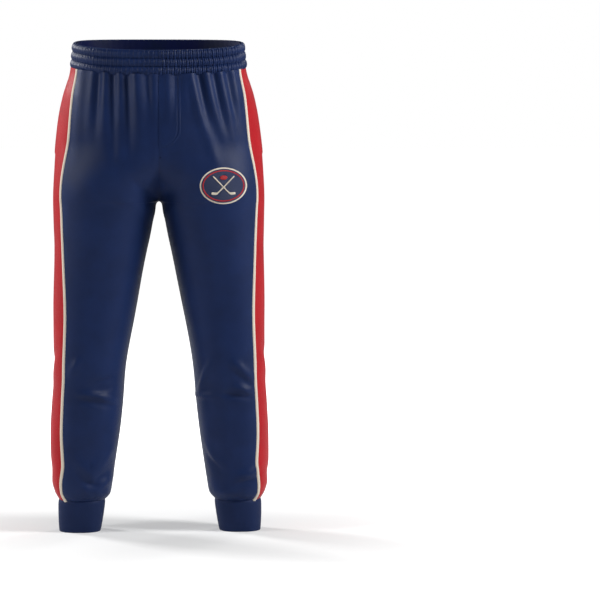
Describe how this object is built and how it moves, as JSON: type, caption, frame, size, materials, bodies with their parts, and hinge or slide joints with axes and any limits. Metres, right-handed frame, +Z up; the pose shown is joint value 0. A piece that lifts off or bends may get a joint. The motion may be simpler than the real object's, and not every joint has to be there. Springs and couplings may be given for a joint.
{
  "type": "jogger trousers",
  "caption": "Knitted team jogger trousers with shirred elastic waistband, piped side panels, side pockets and ribbed cuffs.",
  "frame": {"origin": "centre of the waist opening, level with the rim at the sides, where the wearer's waist holds the trousers up", "axes": "+X towards the wearer's left, +Y towards the back, +Z up along the hanging legs"},
  "size_m": [0.444, 0.2764, 1.017],
  "materials": {
    "navy_knit": "smooth brushed-back polyester knit, satin-matte",
    "red_knit": "smooth brushed-back polyester knit, satin-matte",
    "ivory_piping": "flat folded piping",
    "rib_knit": "one-by-one rib knit",
    "elastic": "woven elastic webbing",
    "pocketing": "light mesh pocketing",
    "stitching": "twisted polyester thread",
    "badge": "embroidered twill"
  },
  "bodies": {
    "hips": {"waistband_outer": "navy_knit", "waistband_elastic": "elastic", "waistband_facing": "navy_knit", "mock_fly": "navy_knit", "fly_bartack": "stitching", "thigh_badge": "badge", "left_front_panel_hip": "navy_knit", "left_front_panel_hip_bend": "navy_knit", "left_side_panel_hip": "red_knit", "left_side_panel_hip_bend": "red_knit", "left_back_panel_hip": "navy_knit", "left_back_panel_hip_bend": "navy_knit", "left_front_piping_upper": "ivory_piping", "left_back_piping_upper": "ivory_piping", "left_pocket_facing": "red_knit", "left_pocket_bag": "pocketing", "left_pocket_bartack_bottom": "stitching", "left_pocket_bartack_top": "stitching", "right_front_panel_hip": "navy_knit", "right_front_panel_hip_bend": "navy_knit", "right_side_panel_hip": "red_knit", "right_side_panel_hip_bend": "red_knit", "right_back_panel_hip": "navy_knit", "right_back_panel_hip_bend": "navy_knit", "right_front_piping_upper": "ivory_piping", "right_back_piping_upper": "ivory_piping", "right_pocket_facing": "red_knit", "right_pocket_bag": "pocketing", "right_pocket_bartack_bottom": "stitching", "right_pocket_bartack_top": "stitching"},
    "left_thigh": {"left_front_panel_thigh": "navy_knit", "left_front_panel_knee_bend": "navy_knit", "left_side_panel_thigh": "red_knit", "left_side_panel_knee_bend": "red_knit", "left_back_panel_thigh": "navy_knit", "left_back_panel_knee_bend": "navy_knit", "left_front_piping_lower": "ivory_piping", "left_back_piping_lower": "ivory_piping"},
    "left_shin": {"left_front_panel_calf": "navy_knit", "left_side_panel_calf": "red_knit", "left_back_panel_calf": "navy_knit", "left_rib_cuff": "rib_knit"},
    "right_thigh": {"right_front_panel_thigh": "navy_knit", "right_front_panel_knee_bend": "navy_knit", "right_side_panel_thigh": "red_knit", "right_side_panel_knee_bend": "red_knit", "right_back_panel_thigh": "navy_knit", "right_back_panel_knee_bend": "navy_knit", "right_front_piping_lower": "ivory_piping", "right_back_piping_lower": "ivory_piping"},
    "right_shin": {"right_front_panel_calf": "navy_knit", "right_side_panel_calf": "red_knit", "right_back_panel_calf": "navy_knit", "right_rib_cuff": "rib_knit"}
  },
  "joints": [
    {"name": "left_hip", "type": "hinge", "parent": "hips", "child": "left_thigh", "pos_m": [0, -0.02, -0.253], "axis": [-1, 0, 0], "range_deg": [-15, 90], "deforming": ["left_front_panel_hip_bend", "left_side_panel_hip_bend", "left_back_panel_hip_bend", "left_front_piping_upper", "left_back_piping_upper", "left_pocket_facing", "left_pocket_bag", "left_pocket_bartack_bottom", "thigh_badge"]},
    {"name": "left_knee", "type": "hinge", "parent": "left_thigh", "child": "left_shin", "pos_m": [0, 0.01, -0.673], "axis": [1, 0, 0], "range_deg": [0, 100], "deforming": ["left_front_panel_knee_bend", "left_side_panel_knee_bend", "left_back_panel_knee_bend", "left_front_piping_lower", "left_back_piping_lower"]},
    {"name": "right_hip", "type": "hinge", "parent": "hips", "child": "right_thigh", "pos_m": [0, -0.02, -0.253], "axis": [-1, 0, 0], "range_deg": [-15, 90], "deforming": ["right_front_panel_hip_bend", "right_side_panel_hip_bend", "right_back_panel_hip_bend", "right_front_piping_upper", "right_back_piping_upper", "right_pocket_facing", "right_pocket_bag", "right_pocket_bartack_bottom"]},
    {"name": "right_knee", "type": "hinge", "parent": "right_thigh", "child": "right_shin", "pos_m": [0, 0.01, -0.673], "axis": [1, 0, 0], "range_deg": [0, 100], "deforming": ["right_front_panel_knee_bend", "right_side_panel_knee_bend", "right_back_panel_knee_bend", "right_front_piping_lower", "right_back_piping_lower"]}
  ]
}
